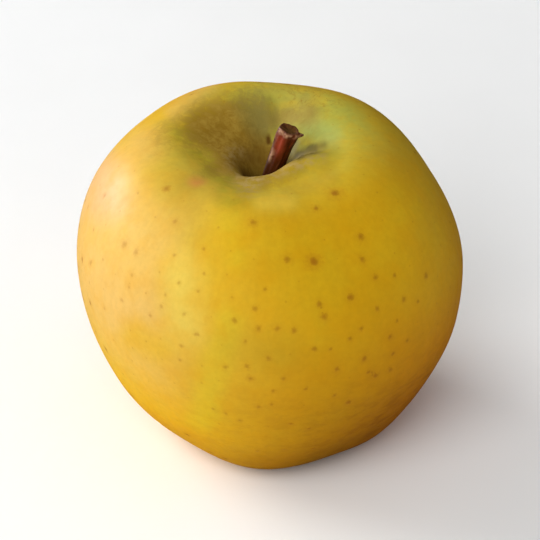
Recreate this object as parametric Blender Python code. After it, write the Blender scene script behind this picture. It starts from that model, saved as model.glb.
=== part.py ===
"""A Chantecler apple as picked: the fruit, its stem, and the dried calyx in the basin at its foot.

Metres, +Z up along the core. The origin lies under the middle of the apple, on the surface that it
stands on. Bearings are in degrees round the core: 0 is +X, the right of the view that the shape
follows, and -90 is -Y, the side nearest to the viewer.
"""

import math

import bmesh
import bpy
import numpy as np

# Driving dimensions of the fruit
HALF_WIDTH = 0.0366
CROWN = 0.0613  # height of the ring round the stem cavity, before it tilts
CORE_LEAN_TOP = -0.0020  # sideways place of the stem cavity, along X
CORE_LEAN_FOOT = 0.0003  # sideways place of the calyx basin, along X

# Turned outline from the pit's floor over the crown and the flank to the eye of the basin:
# share of HALF_WIDTH, share of CROWN
OUTLINE = [
    (0.071, 0.800), (0.093, 0.832), (0.126, 0.878), (0.180, 0.922), (0.287, 0.969), (0.451, 1.000),
    (0.634, 0.979), (0.809, 0.900), (0.934, 0.777), (1.000, 0.620), (0.989, 0.463), (0.918, 0.303),
    (0.801, 0.158), (0.648, 0.052), (0.475, 0.003), (0.328, 0.023), (0.224, 0.075), (0.148, 0.117),
    (0.093, 0.131),
]

# Unevenness of the girth: share of the radius, bearing of its broad side
GIRTH_WAVES = {1: (0.006, 20.0), 2: (0.010, 0.0), 3: (0.010, -90.0)}

# Five ribs, which run from the calyx end up the flank and come back faintly at the crown
RIB_COUNT = 5
RIB_BEARING = -100.0
RIB_SWELL_FOOT = 0.0003
RIB_DROP_FOOT = 0.00045
RIB_SWELL_CROWN = 0.0003
RIB_RISE_CROWN = 0.00025
FOOT_SHAVE = 0.0001  # how far the ribs reach below the surface, where they end in flat feet

CROWN_TILT = 0.0016
CROWN_TILT_BEARING = 86.0

# How the crown spreads outward on one side: bearing, half spread in degrees, radius, half reach, widening
CROWN_WIDENING = (115.0, 100.0, 0.0155, 0.0090, 0.0030)

# Hollows and humps in the wall of the stem cavity:
# bearing, half spread in degrees, radius, half reach, rise, widening
CAVITY_FORMS = [
    (-70.0, 74.0, 0.0065, 0.0060, 0.0023, -0.0006),
    (-20.0, 64.0, 0.0085, 0.0070, 0.0018, -0.0008),
    (-172.0, 90.0, 0.0030, 0.0085, 0.0022, 0.0),
    (165.0, 95.0, 0.0100, 0.0064, -0.0004, 0.0),
    (10.0, 28.0, 0.0090, 0.0065, -0.0013, 0.0),
    (84.0, 34.0, 0.0102, 0.0062, -0.0014, 0.0),
    (40.0, 40.0, 0.0095, 0.0065, 0.0004, 0.0),
]

# Flats and swellings on the flank: bearing, half spread, height, half reach, swell
FLANK_FORMS = [
    (-32.0, 50.0, 0.0080, 0.0170, -0.0016),
    (22.0, 65.0, 0.0520, 0.0180, -0.0009),
]
FLANK_FORM_FADE = (0.0170, 0.0270)  # radii between which they fade out, towards the crown and the foot

SOCKET_RADIUS = 0.0026
SOCKET_DEPTH = 0.0032
EYE_DEPTH = 0.0026

FRUIT_ROWS = 50
FRUIT_COLUMNS = 64
TURN_WEIGHT = 0.008  # extra rows where the outline bends: metres of outline for each radian

# Gap between pieces that touch
CLEARANCE = 0.0003

# Stem
STEM_TOP = (0.0037, 0.0006, 0.0643)  # middle of the tip
# Share of the length from the foot, radius
STEM_RADII = [
    (0.0, 0.00215), (0.1, 0.00220), (0.2, 0.00200), (0.5, 0.00182), (0.8, 0.00188), (0.93, 0.00200),
    (1.0, 0.00188),
]
STEM_BEND = 1.5  # 1 is a straight stem, more keeps its foot upright
STEM_TIP_SLOPE = 0.35  # rise of the end's face for each metre across it, up towards the left
STEM_SPUR = 0.0010
STEM_ROWS = 18
STEM_SIDES = 14

# Calyx
SEPAL_COUNT = 5
SEPAL_BEARING = -64.0
PLUG_ROWS = 5
PLUG_SIDES = 30
SEPAL_SIDES = 10
SEPAL_ROWS = 11
# Course of a sepal: radius, drop below the eye's rim, half width, half thickness
SEPAL_COURSE = [
    (0.0017, -0.0006, 0.0013, 0.00050),
    (0.0025, 0.0008, 0.0015, 0.00046),
    (0.0027, 0.0022, 0.0013, 0.00042),
    (0.0021, 0.0036, 0.0010, 0.00038),
    (0.0019, 0.0046, 0.0007, 0.00034),
    (0.0028, 0.0056, 0.0004, 0.00030),
]

SKIN_COLOUR = (0.70, 0.43, 0.055, 1.0)
STEM_COLOUR = (0.15, 0.030, 0.018, 1.0)
CALYX_COLOUR = (0.060, 0.034, 0.018, 1.0)


def clear_scene():
    for item in list(bpy.data.objects):
        bpy.data.objects.remove(item, do_unlink=True)


def ramp(value, start, end):
    """0 before start, 1 past end, and smooth between."""
    share = np.clip((value - start) / (end - start), 0.0, 1.0)
    return share * share * (3.0 - 2.0 * share)


def hump(value, middle, reach):
    """1 at the middle, 0 beyond its reach, and smooth between."""
    return np.clip(1.0 - ((value - middle) / reach) ** 2, 0.0, 1.0) ** 2


def bearing_from(degrees, bearing):
    """How far round a bearing is, from -180 to 180."""
    return (degrees - bearing + 180.0) % 360.0 - 180.0


def smooth_curve(knots, samples):
    """Points on a smooth curve through the knots, close together."""
    knots = np.array(knots, float)
    along = np.r_[0.0, np.cumsum(np.linalg.norm(np.diff(knots[:, :2], axis=0), axis=1))]
    slopes = np.gradient(knots, along, axis=0)
    place = np.linspace(0.0, along[-1], samples)
    piece = np.clip(np.searchsorted(along, place, side="right") - 1, 0, len(along) - 2)
    span = (along[piece + 1] - along[piece])[:, None]
    t = (place - along[piece])[:, None] / span
    start = (2.0 * t ** 3 - 3.0 * t ** 2 + 1.0) * knots[piece]
    start_slope = (t ** 3 - 2.0 * t ** 2 + t) * slopes[piece] * span
    end = (-2.0 * t ** 3 + 3.0 * t ** 2) * knots[piece + 1]
    end_slope = (t ** 3 - t ** 2) * slopes[piece + 1] * span
    return start + start_slope + end + end_slope


def outline_rows(rows):
    """Radius and height of each row of the turned outline, closer together where it bends."""
    knots = [(radius * HALF_WIDTH, height * CROWN) for radius, height in OUTLINE]
    curve = smooth_curve(knots, 3000)
    steps = np.diff(curve, axis=0)
    heading = np.unwrap(np.arctan2(steps[:, 1], steps[:, 0]))
    turning = np.abs(np.r_[0.0, np.diff(heading)])
    measure = np.r_[0.0, np.cumsum(np.linalg.norm(steps, axis=1) + TURN_WEIGHT * turning)]
    places = np.linspace(0.0, measure[-1], rows)
    return np.interp(places, measure, curve[:, 0]), np.interp(places, measure, curve[:, 1])


def fruit_surface(rows, columns):
    """Points of the fruit's skin, row by row from the pit's rim to the eye's rim."""
    turned_radius, turned_height = outline_rows(rows)
    crest = int(np.argmax(turned_height))
    foot = int(np.argmin(turned_height))
    row = np.arange(rows)[:, None]
    in_cavity = row <= crest
    in_basin = row >= foot
    radius0 = turned_radius[:, None]
    height0 = turned_height[:, None]
    degrees = np.linspace(-180.0, 180.0, columns, endpoint=False)[None, :]

    # The uneven forms fade out towards the two round holes in the core
    fade = np.where(in_cavity, ramp(radius0, 0.003, 0.014),
                    np.where(in_basin, ramp(radius0, 0.004, 0.014), 1.0))
    near_foot = np.where(in_cavity, 0.0, ramp(-height0, -0.040, -0.006)) * fade
    under_foot = np.where(in_cavity, 0.0, ramp(-height0, -0.016, -0.002)) * fade
    near_crown = ramp(height0, 0.044, 0.058) * fade

    girth = np.zeros_like(degrees)
    for waves, (swell, bearing) in GIRTH_WAVES.items():
        girth = girth + swell * np.cos(waves * np.radians(degrees - bearing))
    ribs = np.cos(RIB_COUNT * np.radians(degrees - RIB_BEARING))

    radius = radius0 * (1.0 + girth * fade)
    radius = radius + ribs * (RIB_SWELL_FOOT * near_foot + RIB_SWELL_CROWN * near_crown)
    tilt = CROWN_TILT * np.cos(np.radians(degrees - CROWN_TILT_BEARING))
    height = height0 - RIB_DROP_FOOT * ribs * under_foot + (RIB_RISE_CROWN * ribs + tilt) * near_crown

    bearing, spread, middle, reach, widening = CROWN_WIDENING
    share = hump(bearing_from(degrees, bearing), 0.0, spread) * hump(radius0, middle, reach)
    radius = radius + widening * share * (height0 > 0.6 * CROWN)
    for bearing, spread, middle, reach, rise, widening in CAVITY_FORMS:
        share = hump(bearing_from(degrees, bearing), 0.0, spread) * hump(radius0, middle, reach) * in_cavity
        height = height + rise * share
        radius = radius + widening * share
    for bearing, spread, middle, reach, swell in FLANK_FORMS:
        share = hump(bearing_from(degrees, bearing), 0.0, spread) * hump(height0, middle, reach)
        radius = radius + swell * share * ramp(radius0, *FLANK_FORM_FADE) * ~in_cavity * ~in_basin

    lean = np.interp(height0, [0.1 * CROWN, 0.8 * CROWN], [CORE_LEAN_FOOT, CORE_LEAN_TOP])
    angle = np.radians(degrees)
    height = np.maximum(height - FOOT_SHAVE, 0.0)
    points = np.stack([radius * np.cos(angle) + lean, radius * np.sin(angle), height], axis=-1)

    # The middle of the apple stands over the origin
    middle = (points.reshape(-1, 3).max(axis=0) + points.reshape(-1, 3).min(axis=0)) / 2.0
    points[..., :2] -= middle[:2]
    return points


def ring_at(centre, radius, columns):
    angle = np.linspace(-math.pi, math.pi, columns, endpoint=False)
    return np.stack([centre[0] + radius * np.cos(angle), centre[1] + radius * np.sin(angle),
                     np.full(columns, centre[2])], axis=-1)


def closed_mesh(name, rings):
    """A closed body lofted through rings of points, each end drawn together to its middle.

    The faces point out where the rings turn anticlockwise seen from where the loft starts.
    """
    model = bmesh.new()
    loops = [[model.verts.new(point) for point in ring] for ring in rings]
    count = len(loops[0])
    first = model.verts.new(np.mean(rings[0], axis=0))
    last = model.verts.new(np.mean(rings[-1], axis=0))
    for upper, lower in zip(loops, loops[1:]):
        for k in range(count):
            model.faces.new((upper[k], lower[k], lower[(k + 1) % count], upper[(k + 1) % count]))
    for k in range(count):
        model.faces.new((first, loops[0][k], loops[0][(k + 1) % count]))
        model.faces.new((last, loops[-1][(k + 1) % count], loops[-1][k]))
    bmesh.ops.recalc_face_normals(model, faces=model.faces)
    mesh = bpy.data.meshes.new(name)
    model.to_mesh(mesh)
    model.free()
    return mesh


def material(name, colour, roughness):
    finish = bpy.data.materials.new(name)
    finish.use_nodes = True
    shader = finish.node_tree.nodes["Principled BSDF"]
    shader.inputs["Base Color"].default_value = colour
    shader.inputs["Roughness"].default_value = roughness
    shader.inputs["Metallic"].default_value = 0.0
    finish.diffuse_color = colour
    return finish


def place(name, mesh, finish):
    item = bpy.data.objects.new(name, mesh)
    bpy.context.scene.collection.objects.link(item)
    mesh.materials.clear()
    mesh.materials.append(finish)
    mesh.shade_smooth()
    mesh.set_sharp_from_angle(angle=math.radians(40.0))
    return item


def make_fruit(skin, finish):
    """Flesh and skin in one solid, with the stem's socket and the calyx's hole in its core."""
    columns = skin.shape[1]
    pit = skin[0].mean(axis=0)
    eye = skin[-1].mean(axis=0)
    eye_radius = np.linalg.norm(skin[-1] - eye, axis=1).mean()
    socket_floor = pit - (0.0, 0.0, SOCKET_DEPTH)
    eye_floor = eye + (0.0, 0.0, EYE_DEPTH)
    rings = [ring_at(socket_floor, SOCKET_RADIUS, columns)]
    rings += list(skin)
    rings += [ring_at(eye_floor, eye_radius, columns)]
    return place("fruit", closed_mesh("fruit", rings), finish)


def make_stem(skin, finish):
    """The stalk: foot in its socket, leaning to the right, with a slanted end and a small spur."""
    foot = skin[0].mean(axis=0) - (0.0, 0.0, SOCKET_DEPTH - CLEARANCE)
    top = np.array(STEM_TOP)
    share = np.linspace(0.0, 1.0, STEM_ROWS)
    route = np.empty((STEM_ROWS, 3))
    route[:, 2] = foot[2] + (top[2] - foot[2]) * share
    for axis in (0, 1):
        route[:, axis] = foot[axis] + (top[axis] - foot[axis]) * share ** STEM_BEND
    at, radii = zip(*STEM_RADII)
    radius = np.interp(share, at, radii)
    angle = np.linspace(-math.pi, math.pi, STEM_SIDES, endpoint=False)
    rings = []
    for i in range(STEM_ROWS):
        spur = STEM_SPUR * hump(share[i], 0.95, 0.09) * hump(angle, 0.0, 0.7)
        reach = radius[i] + spur
        slant = -STEM_TIP_SLOPE * ramp(share[i], 0.7, 1.0) * radius[i] * np.cos(angle)
        rings.append(np.stack([route[i, 0] + reach * np.cos(angle), route[i, 1] + reach * np.sin(angle),
                               route[i, 2] + slant], axis=-1))
    return place("stem", closed_mesh("stem", rings[::-1]), finish)


def sepal_mesh(eye, bearing):
    """One sepal: a narrow blade that hangs from the eye's rim, closes in and curls out at its tip."""
    course = smooth_curve(SEPAL_COURSE, SEPAL_ROWS)
    outward = np.array([math.cos(bearing), math.sin(bearing), 0.0])
    across = np.array([-math.sin(bearing), math.cos(bearing), 0.0])
    heading = np.gradient(course[:, :2], axis=0)
    heading /= np.linalg.norm(heading, axis=1)[:, None]
    angle = np.linspace(-math.pi, math.pi, SEPAL_SIDES, endpoint=False)
    rings = []
    for (radius, drop, half_width, half_thickness), (out, down) in zip(course, heading):
        middle = eye + outward * radius - (0.0, 0.0, drop)
        thick = outward * down + np.array([0.0, 0.0, out])
        rings.append(middle + np.outer(half_width * np.cos(angle), across)
                     + np.outer(half_thickness * np.sin(angle), thick))
    return closed_mesh("sepal", rings)


def make_calyx(skin, finish):
    """The dried flower: a small cup that fills the eye, with five sepals joined to it."""
    eye = skin[-1].mean(axis=0)
    eye_radius = np.linalg.norm(skin[-1] - eye, axis=1).mean()
    plug_radius = eye_radius - CLEARANCE
    heights = np.linspace(EYE_DEPTH - CLEARANCE, -0.0002, PLUG_ROWS)
    rings = [ring_at(eye + (0.0, 0.0, height), plug_radius, PLUG_SIDES) for height in heights]
    rings.append(ring_at(eye - (0.0, 0.0, 0.0006), 0.6 * plug_radius, PLUG_SIDES))
    calyx = place("calyx", closed_mesh("calyx", rings), finish)

    sepals = bpy.data.collections.new("sepals")
    bpy.context.scene.collection.children.link(sepals)
    for k in range(SEPAL_COUNT):
        bearing = math.radians(SEPAL_BEARING + 360.0 / SEPAL_COUNT * k)
        sepals.objects.link(bpy.data.objects.new(f"sepal_{k + 1}", sepal_mesh(eye, bearing)))

    join = calyx.modifiers.new("join sepals", "BOOLEAN")
    join.operation = "UNION"
    join.operand_type = "COLLECTION"
    join.collection = sepals
    join.solver = "EXACT"
    graph = bpy.context.evaluated_depsgraph_get()
    joined = bpy.data.meshes.new_from_object(calyx.evaluated_get(graph))
    calyx.modifiers.clear()
    calyx.data = joined
    for sepal in list(sepals.objects):
        bpy.data.objects.remove(sepal, do_unlink=True)
    bpy.data.collections.remove(sepals)
    return calyx


def main():
    clear_scene()
    skin = fruit_surface(FRUIT_ROWS, FRUIT_COLUMNS)
    make_fruit(skin, material("apple skin", SKIN_COLOUR, 0.38))
    make_stem(skin, material("stem bark", STEM_COLOUR, 0.70))
    make_calyx(skin, material("dried sepals", CALYX_COLOUR, 0.90))


main()
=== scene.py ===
"""The looks of a Chantecler apple: skin, stem and dried calyx, in metres, in the frame of the CAD model.

Bearings are in degrees round the core: 0 is +X, to the right of the camera, and -90 is -Y, the side
nearest to it.
"""

import math

import bmesh
import bpy
import numpy as np
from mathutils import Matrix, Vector


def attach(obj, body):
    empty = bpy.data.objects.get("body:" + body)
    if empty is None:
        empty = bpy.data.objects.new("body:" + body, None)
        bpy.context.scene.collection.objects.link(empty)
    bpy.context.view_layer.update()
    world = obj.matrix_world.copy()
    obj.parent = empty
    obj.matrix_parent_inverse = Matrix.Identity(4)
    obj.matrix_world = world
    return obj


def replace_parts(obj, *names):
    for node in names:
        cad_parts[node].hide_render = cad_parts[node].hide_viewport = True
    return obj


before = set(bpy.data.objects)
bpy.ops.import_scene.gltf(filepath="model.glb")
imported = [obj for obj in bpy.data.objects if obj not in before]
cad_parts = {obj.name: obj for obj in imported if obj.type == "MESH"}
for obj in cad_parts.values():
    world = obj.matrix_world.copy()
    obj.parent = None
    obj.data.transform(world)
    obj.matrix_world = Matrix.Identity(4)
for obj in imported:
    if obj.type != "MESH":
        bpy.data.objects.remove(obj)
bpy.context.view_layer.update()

# The photograph's view of the apple
PHOTO_ELEVATION = math.radians(33.0)
PHOTO_DISTANCE = 0.9
PHOTO_METRES_PER_PIXEL = 0.074 / 184.0
PHOTO_AIM_PIXEL = (104.4, 304.3)
AIM = np.array([0.0, 0.0, 0.033])
FRAME_WIDTH = 0.104  # what the picture's width covers at the apple
SENSOR_WIDTH = 36.0
CLIP_NEAR = 0.05
CLIP_FAR = 20.0
FACING_LEAST = 0.02
OUT_OF_SIGHT = 1000.0  # pixels

# The fruit's form, as in the CAD model
HALF_WIDTH = 0.0366
CROWN = 0.0613
CORE_LEAN_TOP = -0.0020
CORE_LEAN_FOOT = 0.0003
# Outline from the pit's floor over the crown and the flank to the eye: share of HALF_WIDTH, share of CROWN
OUTLINE = [
    (0.071, 0.800), (0.093, 0.832), (0.126, 0.878), (0.180, 0.922), (0.287, 0.969), (0.451, 1.000),
    (0.634, 0.979), (0.809, 0.900), (0.934, 0.777), (1.000, 0.620), (0.989, 0.463), (0.918, 0.303),
    (0.801, 0.158), (0.648, 0.052), (0.475, 0.003), (0.328, 0.023), (0.224, 0.075), (0.148, 0.117),
    (0.093, 0.131),
]
# Unevenness of the girth: share of the radius, bearing of its broad side
GIRTH_WAVES = {1: (0.006, 20.0), 2: (0.010, 0.0), 3: (0.010, -90.0)}
RIB_COUNT = 5
RIB_BEARING = -100.0
RIB_SWELL_FOOT = 0.0003
RIB_DROP_FOOT = 0.00045
RIB_SWELL_CROWN = 0.0003
RIB_RISE_CROWN = 0.00025
FOOT_SHAVE = 0.0001
# Where ribs and waves fade in, as radii; and where they reach, as heights
CAVITY_FADE = (0.003, 0.014)
BASIN_FADE = (0.004, 0.014)
FOOT_BAND = (0.040, 0.006)
UNDERSIDE_BAND = (0.016, 0.002)
CROWN_BAND = (0.044, 0.058)
LEAN_HEIGHTS = (0.1 * CROWN, 0.8 * CROWN)
CROWN_TILT = 0.0016
CROWN_TILT_BEARING = 86.0
# Forms in the cavity's wall: bearing, half spread in degrees, radius, half reach, rise, widening
CAVITY_FORMS = [
    (-70.0, 74.0, 0.0065, 0.0060, 0.0023, -0.0006),
    (-20.0, 64.0, 0.0085, 0.0070, 0.0018, -0.0008),
    (-172.0, 90.0, 0.0030, 0.0085, 0.0022, 0.0),
    (165.0, 95.0, 0.0100, 0.0064, -0.0004, 0.0),
    (10.0, 28.0, 0.0090, 0.0065, -0.0013, 0.0),
    (84.0, 34.0, 0.0102, 0.0062, -0.0014, 0.0),
    (40.0, 40.0, 0.0095, 0.0065, 0.0004, 0.0),
]
# Flats and swellings on the flank: bearing, half spread, height, half reach, swell
FLANK_FORMS = [
    (-32.0, 50.0, 0.0080, 0.0170, -0.0016),
    (22.0, 65.0, 0.0520, 0.0180, -0.0009),
]
FLANK_FORM_FADE = (0.0170, 0.0270)
# How the crown spreads outward on one side: bearing, half spread, radius, half reach, widening
CROWN_WIDENING = (115.0, 100.0, 0.0155, 0.0090, 0.0030)
CROWN_WIDENING_LEAST = 0.6 * CROWN
# Fine pleats round the calyx: waves round the core, height, phase; and the band's radius and half reach
BASIN_PLEATS = [(5, 0.00020, 0.4), (8, 0.00017, 2.1), (13, 0.00012, 4.0), (19, 0.00006, 1.0)]
BASIN_PLEAT_BAND = (0.0070, 0.0055)
SOCKET_DEPTH = 0.0032
EYE_DEPTH = 0.0026
TURN_WEIGHT = 0.008
OUTLINE_SAMPLES = 3000
CLEARANCE = 0.0003
FINE_ROWS = 196
FINE_COLUMNS = 448

# The stem, as in the CAD model
STEM_TOP = (0.0037, 0.0006, 0.0643)
STEM_RADII = [
    (0.0, 0.00215), (0.1, 0.00220), (0.2, 0.00200), (0.5, 0.00182), (0.8, 0.00188), (0.93, 0.00200),
    (1.0, 0.00188),
]
STEM_BEND = 1.5
STEM_TIP_SLOPE = 0.35
# Its knob and the spur at its end: height, place along it, half reach, angle round it, half spread
STEM_BUMPS = [(0.00012, 0.62, 0.05, 2.2, 0.9), (0.0011, 0.965, 0.035, 0.0, 0.30)]
STEM_ROWS = 110
STEM_SIDES = 72
# Fine ridges round the stem: waves, height, turns along it
STEM_RIDGES = [(5, 0.00010, 2.0), (11, 0.00005, -5.0)]
# The cut end, from its rounded lip to its sunken middle: share of the radius, rise
STEM_END = [
    (0.96, 0.00008), (0.90, 0.00010), (0.80, 0.00002), (0.66, -0.00018), (0.5, -0.00030), (0.3, -0.00036),
    (0.12, -0.00034),
]
# Marks on the bark, on its lit front and left and partly painted light: mask, bearing, half spread, place
# along the stem, half reach, weight
STEM_MARKS = [
    ("flush_and_light", -122.0, 44.0, 0.86, 0.17, 0.75),
    ("pale_sheen", -150.0, 28.0, 0.71, 0.12, 0.75),
    ("pale_sheen", -168.0, 26.0, 0.86, 0.12, 0.40),
]

# The calyx: course of a sepal as radius, drop below the eye's rim, half width, half thickness
SEPAL_COUNT = 5
SEPAL_BEARING = -64.0
SEPAL_COURSE = [
    (0.0017, -0.0006, 0.0013, 0.00050),
    (0.0025, 0.0008, 0.0015, 0.00046),
    (0.0027, 0.0022, 0.0013, 0.00042),
    (0.0021, 0.0036, 0.0010, 0.00038),
    (0.0019, 0.0046, 0.0007, 0.00034),
    (0.0028, 0.0056, 0.0004, 0.00030),
]
SEPAL_STRAY = 5.0
SEPAL_LENGTHS = (0.90, 1.06)
SEPAL_CURLS = (-0.0003, 0.0012)
SEPAL_TWIST = 14.0
SEPAL_ROWS = 60
SEPAL_SIDES = 28
CUP_ROWS = 40
CUP_SIDES = 96
STAMEN_COUNT = 14
STAMEN_STRAY = 0.2
STAMEN_LENGTHS = (0.0018, 0.0040)
STAMEN_LEAN = 0.0006
STAMEN_ROWS = 16
STAMEN_SIDES = 8
CALYX_SEED = 5

MILLIMETRES = 1000.0  # in a metre
SMALLEST_DOT = 0.02  # radius in millimetres
# Dots by the seeded rule: none within these radii, and their least distance apart by share of the skin
DOT_SEED = 20
DOT_TRIES = 5200
DOT_FREE_PIT = 0.011
DOT_FREE_EYE = 0.007
DOT_GAPS = ([0.2, 0.85], [0.0046, 0.0026])
SEEN_SIDE_FACING = 0.28
SEEN_SIDE_FAINTNESS = 0.10
DASH_BAND = (0.024, 0.012)  # heights between which dots turn into dashes
# How strong the seen dots are, from the lit left to the right: pixels across, strengths
SEEN_DOT_STRENGTH = ([20.0, 75.0, 120.0], [0.50, 0.80, 1.10])
# Dots on the skin that the photograph shows: pixel, radius in millimetres, strength of the soft halo
DOTS_SEEN = [
    (135.7, 267.5, 0.55, 0.7), (126.8, 274.9, 0.32, 0.6), (95.6, 281.5, 0.36, 0.6),
    (125.5, 300.0, 0.55, 0.9), (112.8, 299.4, 0.42, 0.4), (147.9, 287.9, 0.42, 0.4),
    (148.1, 298.8, 0.38, 0.4), (143.1, 316.6, 0.50, 0.4), (128.7, 321.1, 0.38, 0.4),
    (130.6, 325.9, 0.40, 0.4), (154.9, 308.3, 0.36, 0.3), (163.8, 306.4, 0.28, 0.2),
    (178.5, 307.0, 0.38, 0.3), (168.0, 318.3, 0.32, 0.3), (175.3, 319.8, 0.28, 0.2),
    (155.5, 323.6, 0.34, 0.3), (165.3, 328.1, 0.26, 0.2), (97.1, 323.0, 0.36, 0.3),
    (87.9, 328.3, 0.36, 0.3), (98.8, 332.6, 0.36, 0.3), (108.1, 331.5, 0.36, 0.3),
    (115.7, 333.8, 0.36, 0.3), (93.0, 337.9, 0.24, 0.2), (125.3, 341.5, 0.34, 0.3),
    (142.5, 336.4, 0.30, 0.3), (148.5, 332.6, 0.28, 0.3), (101.6, 313.4, 0.24, 0.3),
    (69.4, 314.9, 0.22, 0.2), (52.8, 321.7, 0.30, 0.2), (35.0, 291.7, 0.42, 0.4),
    (40.7, 295.3, 0.34, 0.3), (38.4, 306.4, 0.24, 0.2), (59.2, 281.5, 0.30, 0.2),
    (72.6, 293.6, 0.26, 0.2), (58.8, 297.5, 0.22, 0.2), (19.0, 300.4, 0.22, 0.2),
    (73.2, 305.8, 0.22, 0.2), (63.0, 325.9, 0.24, 0.2), (54.5, 316.6, 0.20, 0.2),
    (82.8, 351.0, 0.28, 0.3), (93.0, 349.8, 0.34, 0.3), (103.9, 347.2, 0.32, 0.3),
    (69.4, 335.4, 0.24, 0.2), (110.9, 356.8, 0.28, 0.3), (106.1, 362.5, 0.26, 0.3),
    (121.3, 360.9, 0.28, 0.3), (105.4, 368.3, 0.26, 0.3), (135.1, 363.8, 0.28, 0.3),
    (162.0, 336.8, 0.34, 0.4), (170.2, 338.0, 0.30, 0.4), (148.8, 347.0, 0.38, 0.6),
    (154.8, 354.8, 0.36, 0.6), (162.2, 352.4, 0.32, 0.5), (163.4, 344.6, 0.30, 0.4),
    (136.8, 351.4, 0.34, 0.5), (141.6, 368.0, 0.40, 0.7), (151.8, 352.6, 0.28, 0.5),
    (98.4, 369.8, 0.30, 0.4), (111.0, 390.2, 0.26, 0.4), (98.4, 390.8, 0.24, 0.4),
    (124.8, 389.6, 0.30, 0.5), (77.4, 371.0, 0.22, 0.3), (83.4, 372.8, 0.24, 0.3),
    (69.0, 335.6, 0.24, 0.3), (61.8, 341.0, 0.22, 0.3), (60.6, 347.6, 0.20, 0.3),
    (94.8, 356.0, 0.30, 0.6), (114.6, 378.2, 0.28, 0.5), (122.4, 380.0, 0.28, 0.5),
    (90.0, 376.4, 0.24, 0.4), (133.8, 342.2, 0.24, 0.3), (54.6, 265.6, 0.30, 1.0),
    (25.8, 268.7, 0.24, 0.5), (18.8, 300.7, 0.32, 0.5), (60.9, 311.0, 0.20, 0.4),
    (46.5, 326.3, 0.22, 0.3), (24.9, 322.7, 0.22, 0.3), (36.6, 313.3, 0.20, 0.3),
    (17.7, 310.6, 0.20, 0.3), (17.2, 274.1, 0.22, 0.3), (19.9, 284.9, 0.20, 0.3),
    (33.4, 318.7, 0.22, 0.3), (24.0, 299.3, 0.18, 0.3),
]

# Patches of finish, and of painted light and shade, that the photograph shows, each along a line between two
# of its pixels:
# start, end, reach in pixels, weight
SEEN_PATCHES = {
    # Painted sheen on the lit left, and less of it low on the left
    "pale_sheen": [((45.5, 244.0), (46.5, 244.0), 15.0, 0.35)],
    "pale_less": [((40.0, 336.0), (52.0, 342.0), 13.0, 0.65)],
    # Painted sheen round the highlight on the lit cheek, and a tan on the crown's left
    "rose_sheen": [((22.0, 257.0), (24.0, 270.0), 19.0, 0.75), ((59.0, 229.0), (76.0, 217.0), 8.0, 0.32)],
    # Yellower tone, partly painted sheen below the highlight on the left and under the near lip
    "straw_and_sheen": [((62.0, 306.0), (64.0, 332.0), 17.0, 0.80), ((101.0, 271.5), (113.0, 271.5), 8.0, 0.35)],
    "lime": [
        ((84.0, 272.0), (88.0, 300.0), 12.0, 0.60), ((84.0, 330.0), (72.0, 374.0), 14.0, 0.95),
        ((128.0, 330.0), (126.0, 350.0), 8.0, 0.30), ((56.0, 268.0), (66.0, 288.0), 15.0, 0.55),
    ],
    "green": [((146.0, 230.0), (164.0, 246.0), 15.0, 0.25)],
    "sage": [((121.0, 234.0), (133.0, 240.0), 9.0, 0.70)],
    "khaki": [((105.0, 232.0), (122.0, 229.0), 11.0, 0.95), ((104.0, 218.0), (126.0, 219.0), 7.0, 0.30)],
    "moss": [((64.0, 238.0), (82.0, 258.0), 11.0, 0.65), ((84.0, 266.0), (90.0, 272.0), 8.0, 0.45)],
    "russet": [
        ((70.0, 260.0), (84.0, 254.0), 7.0, 0.38), ((60.0, 246.0), (74.0, 249.0), 7.0, -0.12),
        ((59.0, 238.0), (61.0, 230.0), 9.0, -0.30), ((67.0, 224.0), (86.0, 219.0), 7.0, -0.17),
    ],
    # Painted shade, darker brown low on the pit's wall, with one dark spot; lessened on the near left
    "pit": [((80.0, 239.0), (97.0, 246.0), 10.0, 0.20), ((97.0, 239.0), (103.0, 246.0), 6.0, 0.16)],
    "pit_less": [((88.0, 253.0), (100.0, 259.0), 6.5, 0.55)],
    "pit_mark": [((103.6, 240.6), (103.8, 243.0), 1.9, 0.95)],
    "hollow": [((114.5, 248.0), (116.5, 243.0), 3.0, 0.65)],
    # Painted shade in the groove just behind the near lip
    "crease_shade": [
        ((118.6, 249.4), (124.5, 246.4), 3.8, 0.90), ((124.5, 246.4), (130.0, 244.4), 3.4, 0.70),
        ((114.5, 252.5), (118.6, 249.4), 2.6, 0.45),
    ],
    # Brownish flecks along the near lip, partly painted shade
    "scurf_and_shade": [((88.0, 250.0), (94.0, 264.0), 9.0, 0.60), ((96.0, 261.0), (128.0, 250.0), 5.5, 0.64)],
    # Painted light and shade: darker along the near lip, on the fold and low at the front, lighter just under
    # the lip
    "painted_light_shade": [
        ((126.0, 240.0), (133.0, 243.0), 8.0, -0.16), ((108.0, 258.5), (118.0, 254.5), 6.0, -0.24),
        ((118.0, 255.0), (130.0, 252.0), 7.0, -0.14), ((86.0, 262.0), (100.0, 265.5), 7.0, -0.13),
        ((86.0, 259.5), (101.0, 262.0), 5.5, -0.22), ((60.0, 268.0), (67.0, 286.0), 15.0, -0.12),
        ((66.0, 262.0), (76.0, 266.0), 8.0, -0.10), ((88.0, 340.0), (112.0, 344.0), 17.0, -0.10),
        ((104.0, 224.0), (107.0, 240.0), 5.5, -0.32), ((114.0, 264.0), (133.0, 259.0), 9.0, -0.17),
        ((82.0, 270.0), (91.0, 270.0), 8.0, -0.18), ((101.0, 271.5), (112.0, 271.5), 6.5, 0.12),
    ],
}
PINK_TOUCH_PIXEL = (69.0, 262.0)
PINK_TOUCH_RADIUS = 0.0028
# The most that a mask may reach
MASK_LIMITS = {
    "deep": 1.0, "lime": 0.7, "pale_sheen": 1.0, "green": 1.0, "khaki": 0.9, "moss": 0.8, "rust_and_shade": 1.0,
    "russet": 1.2, "pit": 1.0, "crease_shade": 0.92, "scurf_and_shade": 0.85,
}

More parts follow.
